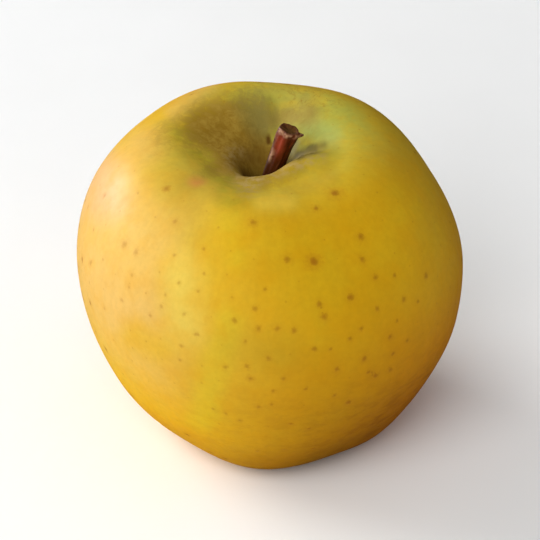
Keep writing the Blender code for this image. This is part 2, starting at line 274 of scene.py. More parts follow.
# Lamps: name, place, width, height, power, shown in reflections, lighting the surfaces
LAMPS = [
    ("window_left", (-1.00, 0.50, 0.45), 0.84, 0.84, 13.8, False, True),
    ("window_sheen", (-1.05, 0.58, 0.50), 0.66, 0.32, 35.0, True, False),
    ("front_left", (-0.40, -0.90, 0.80), 0.90, 0.90, 11.6, False, True),
]
LAMP_AIM = (0.0, 0.0, 0.035)
SKY_COLOUR = (0.95, 0.97, 1.0, 1.0)
SKY_STRENGTH = 0.34
SKY_STRENGTH_MIRRORED = 0.05
FLOOR_HALF_WIDTH = 3.0
FLOOR_GAP = 0.00005


def ramp(value, start, end):
    """0 before start, 1 past end, and smooth between."""
    share = np.clip((value - start) / (end - start), 0.0, 1.0)
    return share * share * (3.0 - 2.0 * share)


def falling(value, start, end):
    """0 above start, 1 under end, and smooth between."""
    return ramp(-value, -start, -end)


def hump(value, middle, reach):
    """1 at the middle, 0 beyond its reach, and smooth between."""
    return np.clip(1.0 - ((value - middle) / reach) ** 2, 0.0, 1.0) ** 2


def bearing_from(degrees, bearing):
    """How far round a bearing is, from -180 to 180."""
    return (degrees - bearing + 180.0) % 360.0 - 180.0


def smooth_curve(knots, samples):
    """Points on a smooth curve through the knots, close together."""
    knots = np.array(knots, float)
    along = np.r_[0.0, np.cumsum(np.linalg.norm(np.diff(knots[:, :2], axis=0), axis=1))]
    slopes = np.gradient(knots, along, axis=0)
    place = np.linspace(0.0, along[-1], samples)
    piece = np.clip(np.searchsorted(along, place, side="right") - 1, 0, len(along) - 2)
    span = (along[piece + 1] - along[piece])[:, None]
    t = (place - along[piece])[:, None] / span
    start = (2.0 * t ** 3 - 3.0 * t ** 2 + 1.0) * knots[piece]
    start_slope = (t ** 3 - 2.0 * t ** 2 + t) * slopes[piece] * span
    end = (-2.0 * t ** 3 + 3.0 * t ** 2) * knots[piece + 1]
    end_slope = (t ** 3 - t ** 2) * slopes[piece + 1] * span
    return start + start_slope + end + end_slope


def outline_rows(rows):
    """Radius, height and length along the outline of each row, closer together where it bends."""
    knots = [(radius * HALF_WIDTH, height * CROWN) for radius, height in OUTLINE]
    curve = smooth_curve(knots, OUTLINE_SAMPLES)
    steps = np.diff(curve, axis=0)
    heading = np.unwrap(np.arctan2(steps[:, 1], steps[:, 0]))
    turning = np.abs(np.r_[0.0, np.diff(heading)])
    lengths = np.linalg.norm(steps, axis=1)
    measure = np.r_[0.0, np.cumsum(lengths + TURN_WEIGHT * turning)]
    distance = np.r_[0.0, np.cumsum(lengths)]
    places = np.linspace(0.0, measure[-1], rows)
    return [np.interp(places, measure, values) for values in (curve[:, 0], curve[:, 1], distance)]


class Skin:
    """The fruit's skin as a grid of points, with what the masks of its finish are worked out from."""

    def __init__(self, rows, columns):
        turned_radius, turned_height, distance = outline_rows(rows)
        crest = int(np.argmax(turned_height))
        foot = int(np.argmin(turned_height))
        row = np.arange(rows)[:, None]
        in_cavity = row <= crest
        in_basin = row >= foot
        radius0 = turned_radius[:, None]
        height0 = turned_height[:, None]
        degrees = np.linspace(-180.0, 180.0, columns, endpoint=False)[None, :]

        fade = np.where(in_basin, ramp(radius0, *BASIN_FADE), 1.0)
        fade = np.where(in_cavity, ramp(radius0, *CAVITY_FADE), fade)
        near_foot = np.where(in_cavity, 0.0, falling(height0, *FOOT_BAND)) * fade
        under_foot = np.where(in_cavity, 0.0, falling(height0, *UNDERSIDE_BAND)) * fade
        near_crown = ramp(height0, *CROWN_BAND) * fade

        girth = np.zeros_like(degrees)
        for waves, (swell, bearing) in GIRTH_WAVES.items():
            girth = girth + swell * np.cos(waves * np.radians(degrees - bearing))
        ribs = np.cos(RIB_COUNT * np.radians(degrees - RIB_BEARING))

        radius = radius0 * (1.0 + girth * fade)
        radius = radius + ribs * (RIB_SWELL_FOOT * near_foot + RIB_SWELL_CROWN * near_crown)
        tilt = CROWN_TILT * np.cos(np.radians(degrees - CROWN_TILT_BEARING))
        height = height0 - RIB_DROP_FOOT * ribs * under_foot + (RIB_RISE_CROWN * ribs + tilt) * near_crown

        bearing, spread, middle, reach, widening = CROWN_WIDENING
        share = hump(bearing_from(degrees, bearing), 0.0, spread) * hump(radius0, middle, reach)
        radius = radius + widening * share * (height0 > CROWN_WIDENING_LEAST)
        pleats = np.zeros_like(degrees)
        for waves, size, phase in BASIN_PLEATS:
            pleats = pleats + size * np.cos(waves * np.radians(degrees) + phase)
        height = height + pleats * hump(radius0, *BASIN_PLEAT_BAND) * in_basin
        for bearing, spread, middle, reach, rise, widening in CAVITY_FORMS:
            share = hump(bearing_from(degrees, bearing), 0.0, spread) * hump(radius0, middle, reach)
            share = share * in_cavity
            height = height + rise * share
            radius = radius + widening * share
        for bearing, spread, middle, reach, swell in FLANK_FORMS:
            share = hump(bearing_from(degrees, bearing), 0.0, spread) * hump(height0, middle, reach)
            radius = radius + swell * share * ramp(radius0, *FLANK_FORM_FADE) * ~in_cavity * ~in_basin

        lean = np.interp(height0, LEAN_HEIGHTS, [CORE_LEAN_FOOT, CORE_LEAN_TOP])
        angle = np.radians(degrees)
        height = np.maximum(height - FOOT_SHAVE, 0.0)
        points = np.stack([radius * np.cos(angle) + lean, radius * np.sin(angle), height], axis=-1)
        middle = (points.reshape(-1, 3).max(axis=0) + points.reshape(-1, 3).min(axis=0)) / 2.0
        points[..., :2] -= middle[:2]

        self.points = points
        self.degrees = np.broadcast_to(degrees, radius.shape)
        self.radius0 = np.broadcast_to(radius0, radius.shape)
        self.height0 = np.broadcast_to(height0, radius.shape)
        self.distance = np.broadcast_to(distance[:, None], radius.shape)
        self.in_cavity = np.broadcast_to(in_cavity, radius.shape)
        self.in_basin = np.broadcast_to(in_basin, radius.shape)
        down = np.gradient(points, axis=0)
        sideways = np.roll(points, -1, axis=1) - np.roll(points, 1, axis=1)
        normals = np.cross(down, sideways)
        self.normals = normals / np.linalg.norm(normals, axis=-1, keepdims=True)


def camera_axes():
    """Right, up and backward of the photograph's camera."""
    right = np.array([1.0, 0.0, 0.0])
    back = np.array([0.0, -math.cos(PHOTO_ELEVATION), math.sin(PHOTO_ELEVATION)])
    return right, np.cross(back, right), back


def photo_pixels(points):
    """Where points of the apple lie in the photograph."""
    right, up, back = camera_axes()
    offset = points - AIM
    scale = PHOTO_DISTANCE / (PHOTO_DISTANCE - offset @ back) / PHOTO_METRES_PER_PIXEL
    across = PHOTO_AIM_PIXEL[0] + offset @ right * scale
    down = PHOTO_AIM_PIXEL[1] - offset @ up * scale
    return np.stack([across, down], axis=-1)


def skin_at_pixel(skin, pixels, x, y):
    """The point of the near side of the skin that a pixel of the photograph shows."""
    back = camera_axes()[2]
    facing = skin.normals @ back
    miss = np.hypot(pixels[..., 0] - x, pixels[..., 1] - y) + OUT_OF_SIGHT * (facing < FACING_LEAST)
    return np.unravel_index(np.argmin(miss), miss.shape)


# Node helpers

def add(tree, kind, inputs=None, **settings):
    """A node with its settings, and its inputs either linked or set."""
    node = tree.nodes.new(kind)
    for name, value in settings.items():
        setattr(node, name, value)
    for key, value in (inputs or {}).items():
        if isinstance(value, bpy.types.NodeSocket):
            tree.links.new(value, node.inputs[key])
        else:
            node.inputs[key].default_value = value
    return node


def calc(tree, operation, first, second=0.0, clamp=False):
    return add(tree, "ShaderNodeMath", {0: first, 1: second}, operation=operation, use_clamp=clamp).outputs[0]


def span(tree, value, low, high, out_low=0.0, out_high=1.0):
    """A smooth step from low to high."""
    inputs = {"Value": value, "From Min": low, "From Max": high, "To Min": out_low, "To Max": out_high}
    return add(tree, "ShaderNodeMapRange", inputs, interpolation_type="SMOOTHSTEP").outputs[0]


def mix(tree, share, first, second, blend="MIX"):
    """Two colours mixed; 0, 6 and 7 are the node's share and its two colours."""
    node = add(tree, "ShaderNodeMix", {0: share, 6: first, 7: second}, data_type="RGBA", blend_type=blend)
    return node.outputs[2]


def noise(tree, vector, scale, detail, roughness, distortion=0.0):
    inputs = {"Vector": vector, "Scale": scale, "Detail": detail, "Roughness": roughness}
    return add(tree, "ShaderNodeTexNoise", {**inputs, "Distortion": distortion}).outputs[0]


def attribute(tree, name, output="Fac"):
    return add(tree, "ShaderNodeAttribute", attribute_name=name).outputs[output]


def broken(tree, mask, texture):
    """A mask of the mesh, broken up by a texture."""
    return calc(tree, "MULTIPLY", attribute(tree, mask), texture, clamp=True)


def laid_over(tree, tint, layers):
    """A tint with further ones over it, each where its mask is."""
    for mask, tone in layers:
        tint = mix(tree, attribute(tree, mask), tint, tone)
    return tint


def object_place(tree):
    return add(tree, "ShaderNodeTexCoord").outputs["Object"]


def new_material(name):
    material = bpy.data.materials.new(name)
    material.use_nodes = True
    tree = material.node_tree
    return material, tree, tree.nodes["Principled BSDF"]


def set_inputs(shader, **values):
    for name, value in values.items():
        shader.inputs[name.replace("_", " ")].default_value = value


def connect(tree, shader, tint, rough, relief):
    for name, value in (("Base Color", tint), ("Roughness", rough), ("Normal", relief)):
        tree.links.new(value, shader.inputs[name])


def bump(tree, height, distance, strength, under=None):
    inputs = {"Height": height, "Distance": distance, "Strength": strength}
    if under is not None:
        inputs["Normal"] = under
    return add(tree, "ShaderNodeBump", inputs).outputs[0]


def colour(red, green, blue):
    return (red, green, blue, 1.0)


# Skin finish

YELLOW = colour(0.625, 0.395, 0.010)
AMBER = colour(0.630, 0.292, 0.001)
# Deeper orange for the right and the foot, partly painted shade
DEEP_ORANGE_AND_SHADE = colour(0.640, 0.195, 0.001)
# Rusty brown, partly painted shade low on the right
RUST_AND_SHADE = colour(0.330, 0.095, 0.001)
# Rosy tone: painted sheen round the highlight on the lit cheek, and a tan on the crown's left
ROSE_SHEEN = colour(0.640, 0.375, 0.170)
# Paler gold that paints the sheen on the lit left
PALE_GOLD_SHEEN = colour(0.655, 0.402, 0.112)
GREEN = colour(0.420, 0.385, 0.050)
SAGE = colour(0.370, 0.425, 0.105)
LIME = colour(0.625, 0.440, 0.008)
MOSS = colour(0.400, 0.330, 0.016)
HOLLOW_GREY = colour(0.390, 0.350, 0.150)
RUSSET = colour(0.220, 0.112, 0.009)
PALE_RUSSET = colour(0.350, 0.215, 0.032)
# Painted shade deep in the pit
PIT_SHADE_BROWN = colour(0.100, 0.045, 0.006)
OLIVE = colour(0.210, 0.185, 0.050)
# Painted shade for the groove behind the near lip
SHADE_OLIVE = colour(0.120, 0.090, 0.016)
# Brownish flecks, also laid along the near lip as part of its painted shade
SCURF_AND_SHADE = colour(0.400, 0.275, 0.095)
KHAKI = colour(0.320, 0.232, 0.040)
DOT_BROWN = colour(0.240, 0.062, 0.004)
HALO_BROWN = colour(0.420, 0.170, 0.006)
BLUSH_PINK = colour(0.620, 0.200, 0.050)
# Yellower tone, partly painted sheen in the streak below the lit cheek's highlight
STRAW_AND_SHEEN = colour(0.665, 0.480, 0.075)

# Stem finish

BARK_BROWN = colour(0.055, 0.009, 0.001)
BARK_RED = colour(0.130, 0.020, 0.004)
# Painted shade on the stem's foot down in the pit
BARK_FOOT_SHADE = colour(0.050, 0.013, 0.002)
# Redder bark on the lit front left, partly painted light
BARK_FLUSH_AND_LIGHT = colour(0.350, 0.050, 0.020)
# Worn paler bark, partly a painted highlight on the lit left
BARK_WORN_AND_SHEEN = colour(0.450, 0.250, 0.140)
BARK_RIDGE = colour(0.24, 0.070, 0.024)
BARK_GROOVE = colour(0.07, 0.018, 0.010)
CUT_DARK = colour(0.065, 0.026, 0.004)
CUT_LIGHT = colour(0.165, 0.078, 0.016)

# Calyx finish

SEPAL_DARK = colour(0.050, 0.024, 0.011)
SEPAL_BROWN = colour(0.135, 0.080, 0.038)
SEPAL_VEIN = colour(0.26, 0.18, 0.10)
SEPAL_TIP = colour(0.025, 0.013, 0.008)
SEPAL_FUZZ = colour(0.34, 0.28, 0.19)

# Floor finish

FLOOR_PALE = colour(0.93, 0.93, 0.92)
FLOOR_SPECK = colour(0.6, 0.6, 0.6)


def ground_colour(tree, where, patch):
    """Yellow, amber where the sun reached, paler gold and rosy tones that are painted sheen on the lit cheek,
    green towards stem and calyx.
    """
    cloud = noise(tree, where, scale=62.0, detail=3.0, roughness=0.55)
    amber = calc(tree, "ADD", attribute(tree, "amber"), span(tree, cloud, 0.2, 0.8, -0.22, 0.22), clamp=True)
    tint = mix(tree, amber, YELLOW, AMBER)
    # Of these layers, the deeper orange is partly painted shade, and the paler gold, rosy and yellower ones
    # are partly painted sheen
    layers = [("deep", DEEP_ORANGE_AND_SHADE), ("lime", LIME), ("pale_sheen", PALE_GOLD_SHEEN), ("rose_sheen", ROSE_SHEEN), ("straw_and_sheen", STRAW_AND_SHEEN)]
    tint = laid_over(tree, tint, layers)

    # Soft broken patches of green
    green = broken(tree, "green", span(tree, patch, 0.30, 0.66, 0.66, 1.06))
    tint = mix(tree, green, tint, GREEN)
    tint = laid_over(tree, tint, [("sage", SAGE)])
    khaki = broken(tree, "khaki", span(tree, patch, 0.30, 0.66, 0.70, 1.10))
    tint = mix(tree, khaki, tint, KHAKI)
    moss = broken(tree, "moss", span(tree, patch, 0.34, 0.62, 0.20, 1.15))
    tint = mix(tree, moss, tint, MOSS)

    # Fine streaks that run from stem to calyx, a finer mottle, and amber blotches between the greens
    streak = noise(tree, attribute(tree, "grain", "Vector"), scale=1.0, detail=3.0, roughness=0.6)
    tint = mix(tree, 1.0, tint, span(tree, streak, 0.25, 0.75, 0.975, 1.02), "MULTIPLY")
    mottle = noise(tree, where, scale=900.0, detail=3.0, roughness=0.6)
    tint = mix(tree, 1.0, tint, span(tree, mottle, 0.2, 0.8, 0.955, 1.04), "MULTIPLY")
    blotch = span(tree, noise(tree, where, scale=210.0, detail=3.0, roughness=0.55), 0.35, 0.75, 0.0, 0.30)
    blotch = calc(tree, "MULTIPLY", blotch, calc(tree, "SUBTRACT", 1.0, green))
    return mix(tree, blotch, tint, AMBER)


def with_rust_and_shade(tree, where, tint):
    """Rusty dapples drawn out round the girth, and a broad rusty patch low on the right that is partly
    painted shade.
    """
    low = add(tree, "ShaderNodeVectorMath", {0: where, 1: (1.0, 1.0, 2.2)}, operation="MULTIPLY").outputs[0]
    dapple = span(tree, noise(tree, low, scale=240.0, detail=4.0, roughness=0.62), 0.46, 0.66)
    speck = span(tree, noise(tree, low, scale=620.0, detail=3.0, roughness=0.6), 0.52, 0.70)
    rust_and_shade = broken(tree, "rust_and_shade", calc(tree, "ADD", calc(tree, "MULTIPLY", dapple, 0.45), 0.55))
    tint = mix(tree, rust_and_shade, tint, RUST_AND_SHADE)
    dapple = broken(tree, "dapple", calc(tree, "MAXIMUM", dapple, speck))
    return mix(tree, calc(tree, "MULTIPLY", dapple, 0.30), tint, RUST_AND_SHADE)


def with_russet(tree, where, tint):
    """Russet, a web of fibres that thickens towards the pit, then painted shade in the pit and in the groove
    behind the near lip, a grey in the hollow, and brownish flecks on the lip that are partly painted shade.
    """
    strands = attribute(tree, "fibre", "Vector")
    fibre = noise(tree, strands, scale=1.0, detail=3.0, roughness=0.55, distortion=0.6)
    net = noise(tree, where, scale=620.0, detail=4.0, roughness=0.7, distortion=0.8)
    web = calc(tree, "ADD", calc(tree, "MULTIPLY", fibre, 0.4), calc(tree, "MULTIPLY", net, 0.6))
    reach = calc(tree, "ADD", attribute(tree, "russet"), span(tree, web, 0.3, 0.7, -0.22, 0.22))
    russet = span(tree, reach, 0.12, 1.0)
    bark = mix(tree, span(tree, web, 0.35, 0.68), RUSSET, PALE_RUSSET)
    bark = laid_over(tree, bark, [("olive", OLIVE)])
    tint = mix(tree, calc(tree, "MULTIPLY", russet, 0.90), tint, bark)
    # Painted shade: dark brown deep in the pit and dark olive in the groove behind the lip; grey in the
    # hollow
    tint = laid_over(tree, tint, [("pit", PIT_SHADE_BROWN), ("hollow", HOLLOW_GREY), ("crease_shade", SHADE_OLIVE)])
    # Brownish flecks on the lip, partly painted shade along it
    flecks = span(tree, noise(tree, where, scale=700.0, detail=4.0, roughness=0.65), 0.38, 0.62)
    tint = mix(tree, broken(tree, "scurf_and_shade", flecks), tint, SCURF_AND_SHADE)

    # A loose net of thin lines
    vein = noise(tree, where, scale=330.0, detail=4.0, roughness=0.6, distortion=1.2)
    vein = calc(tree, "ABSOLUTE", calc(tree, "SUBTRACT", vein, 0.5))
    line = calc(tree, "MULTIPLY", span(tree, vein, 0.004, 0.060, 0.6, 0.0), span(tree, web, 0.42, 0.58))
    tint = mix(tree, calc(tree, "MULTIPLY", line, attribute(tree, "net")), tint, RUSSET)
    return tint, russet, calc(tree, "MULTIPLY", russet, net)


def with_dots(tree, where, tint):
    """Dots, each with a soft halo; towards the foot they draw out into short dashes."""
    inputs = {0: attribute(tree, "dot_offset", "Vector"), 1: attribute(tree, "dot_stretch", "Vector")}
    stretched = add(tree, "ShaderNodeVectorMath", inputs, operation="MULTIPLY").outputs[0]
    away = add(tree, "ShaderNodeVectorMath", {0: stretched}, operation="LENGTH").outputs["Value"]
    wobble = span(tree, noise(tree, where, scale=1500.0, detail=3.0, roughness=0.6), 0.25, 0.75, 0.62, 1.38)
    size = calc(tree, "MAXIMUM", attribute(tree, "dot_size"), SMALLEST_DOT)
    distance = attribute(tree, "dot_distance")

    share = calc(tree, "DIVIDE", calc(tree, "MULTIPLY", away, wobble), size)
    inside = span(tree, distance, 0.75, 1.0, 1.0, 0.0)
    core = calc(tree, "MULTIPLY", span(tree, share, 0.10, 1.75, 1.0, 0.0), inside)
    soft = calc(tree, "DIVIDE", calc(tree, "MULTIPLY", distance, wobble), size)
    halo = broken(tree, "dot_halo", span(tree, soft, 0.8, 3.6, 1.0, 0.0))
    tint = mix(tree, calc(tree, "MULTIPLY", halo, 0.46), tint, HALO_BROWN)
    core = calc(tree, "MULTIPLY", core, calc(tree, "MULTIPLY", attribute(tree, "dot_strength"), 0.74))
    return mix(tree, core, tint, DOT_BROWN), core


def skin_material():
    material, tree, shader = new_material("apple skin")
    where = object_place(tree)
    patch = noise(tree, where, scale=300.0, detail=4.0, roughness=0.6, distortion=0.4)
    tint = with_rust_and_shade(tree, where, ground_colour(tree, where, patch))
    # Painted light and shade, multiplied into the colour
    tint = mix(tree, 1.0, tint, attribute(tree, "painted_light_shade"), "MULTIPLY")
    tint = mix(tree, broken(tree, "pink", span(tree, patch, 0.2, 0.7, 0.4, 1.0)), tint, BLUSH_PINK)
    tint, russet, rough_net = with_russet(tree, where, tint)
    tint, core = with_dots(tree, where, tint)

    rough = span(tree, noise(tree, where, scale=420.0, detail=3.0, roughness=0.6), 0.2, 0.8, 0.45, 0.55)
    for extra, weight in ((russet, 0.20), (attribute(tree, "dull"), 0.34), (core, 0.22)):
        rough = calc(tree, "ADD", rough, calc(tree, "MULTIPLY", extra, weight), clamp=True)

    pores = noise(tree, where, scale=2400.0, detail=2.0, roughness=0.5)
    waves = noise(tree, where, scale=300.0, detail=2.0, roughness=0.5)
    relief = bump(tree, pores, distance=0.00003, strength=0.5)
    relief = bump(tree, waves, distance=0.00012, strength=0.5, under=relief)
    relief = bump(tree, rough_net, distance=0.00010, strength=0.5, under=relief)
    relief = bump(tree, core, distance=0.00009, strength=0.8, under=relief)

    connect(tree, shader, tint, rough, relief)
    set_inputs(shader, IOR=1.46, Specular_IOR_Level=0.07, Coat_Weight=0.03, Coat_Roughness=0.34)
    return material


def loft_grid(rows, sides):
    """How far along and at what angle round each point of a loft lies."""
    share = np.linspace(0.0, 1.0, rows)[:, None]
    angle = np.linspace(-math.pi, math.pi, sides, endpoint=False)[None, :]
    return np.broadcast_arrays(share, angle)


def grid_mesh(name, rings):
    """A closed body lofted through rings of points, with its ends drawn together."""
    rows, columns = rings.shape[:2]
    vertices = np.concatenate([rings.reshape(-1, 3), [rings[0].mean(axis=0)], [rings[-1].mean(axis=0)]])
    faces = []
    for i in range(rows - 1):
        for k in range(columns):
            follow = (k + 1) % columns
            near = i * columns
            far = near + columns
            faces.append((near + k, far + k, far + follow, near + follow))
    first = rows * columns
    for k in range(columns):
        follow = (k + 1) % columns
        faces.append((first, k, follow))
        faces.append((first + 1, (rows - 1) * columns + follow, (rows - 1) * columns + k))
    mesh = bpy.data.meshes.new(name)
    mesh.from_pydata(vertices.tolist(), [], faces)
    work = bmesh.new()
    work.from_mesh(mesh)
    bmesh.ops.recalc_face_normals(work, faces=work.faces)
    work.to_mesh(mesh)
    work.free()
    mesh.shade_smooth()
    return mesh


def place(name, mesh, material, body="root"):
    piece = bpy.data.objects.new(name, mesh)
    bpy.context.scene.collection.objects.link(piece)
    mesh.materials.append(material)
    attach(piece, body)
    return piece


def store(mesh, name, grid):
    """Keep a value or a vector for each point of a lofted body, from the grid of its rings."""
    grid = np.asarray(grid, np.float32)
    values = np.concatenate([grid.reshape(-1, *grid.shape[2:]), grid[0, :1], grid[-1, :1]])
    is_vector = grid.ndim == 3
    layer = mesh.attributes.new(name, "FLOAT_VECTOR" if is_vector else "FLOAT", "POINT")
    layer.data.foreach_set("vector" if is_vector else "value", values.ravel())


def scatter_dots(skin, pixels):
    """Point, radius, strength and halo of each dot: those seen, then others by a seeded rule."""
    draw = np.random.default_rng(DOT_SEED)
    flat = skin.points.reshape(-1, 3)
    spots = []
    for x, y, radius, halo in DOTS_SEEN:
        at = skin_at_pixel(skin, pixels, x, y)
        strength = (0.40 + 0.6 * radius) * np.interp(x, *SEEN_DOT_STRENGTH)
        spots.append((np.ravel_multi_index(at, skin.radius0.shape), radius * 1.25, strength, halo))

    # Closer together towards the foot, none in the pit and the eye, and only faint ones on the seen side
    row_step = np.linalg.norm(np.gradient(skin.points, axis=0), axis=-1)
    column_step = np.linalg.norm(np.roll(skin.points, -1, axis=1) - skin.points, axis=-1)
    share = skin.distance / skin.distance.max()
    in_pit = skin.in_cavity & (skin.radius0 < DOT_FREE_PIT)
    in_eye = skin.in_basin & (skin.radius0 < DOT_FREE_EYE)
    weight = (row_step * column_step * (~in_pit & ~in_eye) * (0.5 + 1.6 * share ** 1.5)).ravel()
    places = draw.choice(weight.size, DOT_TRIES, replace=False, p=weight / weight.sum())
    gaps = np.interp(share.ravel(), *DOT_GAPS)
    seen_side = (skin.normals @ camera_axes()[2]).ravel() > SEEN_SIDE_FACING
    kept = [flat[spot[0]] for spot in spots]
    for at in places:
        if np.min(np.linalg.norm(np.array(kept) - flat[at], axis=1)) < gaps[at]:
            continue
        kept.append(flat[at])
        bold = draw.random() ** 1.7
        if seen_side[at]:
            bold *= SEEN_SIDE_FAINTNESS
        radius = 0.10 + 0.34 * bold + 0.05 * draw.random()
        strength = 0.22 + 0.55 * bold + 0.1 * draw.random()
        spots.append((at, radius, strength, 0.15 + 0.5 * bold))
    return spots


def dot_masks(skin, pixels):
    """For each point of the skin: the nearest dot's offset, distance, size, strength and halo."""
    spots = scatter_dots(skin, pixels)
    flat = skin.points.reshape(-1, 3)
    shape = skin.radius0.shape
    centres = flat[[spot[0] for spot in spots]]
    nearest = np.zeros(len(flat), int)
    distance = np.full(len(flat), 1.0)
    for number, centre in enumerate(centres):
        away = np.linalg.norm(flat - centre, axis=1)
        closer = away < distance
        distance[closer] = away[closer]
        nearest[closer] = number
    masks = {
        "dot_offset": ((flat - centres[nearest]) * MILLIMETRES).reshape(*shape, 3),
        "dot_distance": (distance * MILLIMETRES).reshape(shape),
    }
    facts = np.array([spot[1:] for spot in spots])
    for column, name in enumerate(("dot_size", "dot_strength", "dot_halo")):
        masks[name] = facts[nearest, column].reshape(shape)
    return masks


def course_masks(skin):
    """Coordinates for the textures that follow the skin from stem to calyx."""
    angle = np.radians(skin.degrees)
    distance = skin.distance * MILLIMETRES
    dash = falling(skin.points[..., 2], *DASH_BAND)
    return {
        "grain": np.stack([np.cos(angle) * 15.0, np.sin(angle) * 15.0, distance * 0.10], axis=-1),
        "fibre": np.stack([np.cos(angle) * 9.0, np.sin(angle) * 9.0, distance * 0.55], axis=-1),
        "dot_stretch": np.stack([1.0 - 0.25 * dash, 1.0 - 0.25 * dash, 1.0 + 1.6 * dash], axis=-1),
    }


def colour_masks(skin, pixels):
    """How much of each colour every point of the skin has, by side, by height and where it is seen."""
    degrees, radius0, height = skin.degrees, skin.radius0, skin.points[..., 2]
    facing = ramp(skin.normals @ camera_axes()[2], 0.0, 0.15)
    cavity = skin.in_cavity * 1.0
    upper = skin.height0 > 0.5 * CROWN

    def toward(bearing, spread):
        return hump(bearing_from(degrees, bearing), 0.0, spread)

    def below(start, end):
        return falling(height, start, end)

    def within(start, end):
        return falling(radius0, start, end)

    def seen(name):
        total = np.zeros_like(height)
        for start, end, reach, weight in SEEN_PATCHES[name]:
            line = np.array(end) - np.array(start)
            share = np.clip((pixels - start) @ line / (line @ line), 0.0, 1.0)
            miss = np.linalg.norm(pixels - start - share[..., None] * line, axis=-1)
            total = total + weight * hump(miss, 0.0, reach)
        return total * facing

    # Among these, the groove's dark patch is painted shade, and the rosy and yellower patches are partly
    # painted sheen
    masks = {name: seen(name) for name in ("rose_sheen", "straw_and_sheen", "sage", "khaki", "moss", "crease_shade")}
    masks["lime"] = seen("lime") - 0.2

    # Amber towards the right and the foot, with a deeper orange there that is partly painted shade; a paler
    # gold on the left that is painted sheen; green round stem and calyx
    amber = 0.34 + 0.66 * toward(-35.0, 100.0) * below(0.055, 0.020) + 0.25 * below(0.020, 0.004)
    masks["amber"] = (amber - 0.2 * toward(-150.0, 80.0)) * (1.0 - within(0.0250, 0.0110) * upper)
    # Deeper orange low on the right and at the foot, partly painted shade
    masks["deep"] = 0.90 * toward(0.0, 80.0) * below(0.046, 0.012) + 0.22 * below(0.022, 0.002)
    # Paler gold on the lit left and high up: painted sheen
    pale_sheen = 0.35 * toward(-158.0, 90.0) + 0.55 * ramp(toward(-160.0, 90.0), 0.46, 0.82)
    masks["pale_sheen"] = pale_sheen * hump(height, 0.041, 0.027) * (1.0 - seen("pale_less")) + seen("pale_sheen")
    green = 0.34 + 0.80 * toward(52.0, 100.0) + 0.15 * toward(-150.0, 50.0)
    green = green * within(0.0270, 0.0130) * upper + 0.55 * within(0.016, 0.008) * skin.in_basin
    masks["green"] = green + seen("green")

    # Russet: round the pit, in a fan on the left wall that a fold ends, and faintly along the near lip
    fold = 82.0 - 45.0 * within(0.0085, 0.0050)
    past_fold = bearing_from(degrees, 150.0) + 150.0 - fold
    fan = ramp(past_fold, -6.0, 12.0) * falling(bearing_from(degrees, 205.0), 25.0, -60.0)
    fan = fan * falling(radius0 - 0.0056 * toward(185.0, 75.0), 0.0240, 0.0100) * upper
    lip = toward(-105.0, 75.0) * hump(radius0, 0.0085, 0.0075) * cavity
    russet = 0.55 * within(0.0150, 0.0040) * cavity + 0.90 * fan ** 1.5 + 0.36 * lip
    masks["russet"] = russet + 0.25 * within(0.010, 0.005) * skin.in_basin + seen("russet")
    masks["olive"] = 0.7 * toward(92.0, 34.0) * ramp(radius0, 0.0060, 0.0100) * upper
    # Painted shade: darker brown deepening into the pit, with one dark spot
    pit = (0.85 * within(0.0085, 0.0033) + seen("pit_mark")) * cavity + seen("pit")
    masks["pit"] = pit * (1.0 - seen("pit_less"))
    masks["hollow"] = seen("hollow") * cavity
    masks["scurf_and_shade"] = seen("scurf_and_shade") * ramp(radius0, 0.0045, 0.0070)
    net = 0.75 * toward(62.0, 42.0) * hump(radius0, 0.0165, 0.0085) * upper
    masks["net"] = net + 0.9 * toward(150.0, 60.0) * hump(height, 0.034, 0.022)
    masks["dull"] = within(0.0200, 0.0120) * upper

    # Rusty patch low at the front right, partly painted shade; faint rusty patch low at the back
    rust_and_shade = 0.75 * toward(-27.0, 60.0) * hump(height, 0.011, 0.020) * (1.0 - cavity)
    masks["rust_and_shade"] = rust_and_shade + 0.30 * toward(45.0, 60.0) * below(0.030, 0.006)
    masks["dapple"] = below(0.042, 0.012) * (0.25 + 0.70 * toward(-40.0, 100.0))
    touch = skin.points[skin_at_pixel(skin, pixels, *PINK_TOUCH_PIXEL)]
    masks["pink"] = 0.70 * hump(np.linalg.norm(skin.points - touch, axis=-1), 0.0, PINK_TOUCH_RADIUS)

    # Painted light and shade: lighter low on the left where light bounces up from the floor, darker low at
    # the front and right and at the foot
    painted_light_shade = 1.0 + 0.22 * toward(-138.0, 62.0) * below(0.038, 0.014)
    painted_light_shade = painted_light_shade - 0.25 * toward(-70.0, 62.0) * below(0.044, 0.018)
    painted_light_shade = painted_light_shade - 0.22 * toward(-80.0, 100.0) * below(0.018, 0.003)
    masks["painted_light_shade"] = painted_light_shade - 0.13 * toward(-68.0, 40.0) * hump(height, 0.043, 0.022) + seen("painted_light_shade")
    for name, most in MASK_LIMITS.items():
        masks[name] = np.clip(masks[name], 0.0, most)
    return masks


def make_fruit():
    skin = Skin(FINE_ROWS, FINE_COLUMNS)
    pixels = photo_pixels(skin.points)
    socket_floor = skin.points[0] - (0.0, 0.0, SOCKET_DEPTH)
    eye_floor = skin.points[-1] + (0.0, 0.0, EYE_DEPTH)
    mesh = grid_mesh("fruit_skin", np.array([socket_floor, *skin.points, eye_floor]))
    masks = {**dot_masks(skin, pixels), **course_masks(skin), **colour_masks(skin, pixels)}
    for name, grid in masks.items():
        store(mesh, name, np.concatenate([grid[:1], grid, grid[-1:]]))
    piece = place("fruit_skin", mesh, skin_material())
    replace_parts(piece, "fruit")
    return skin


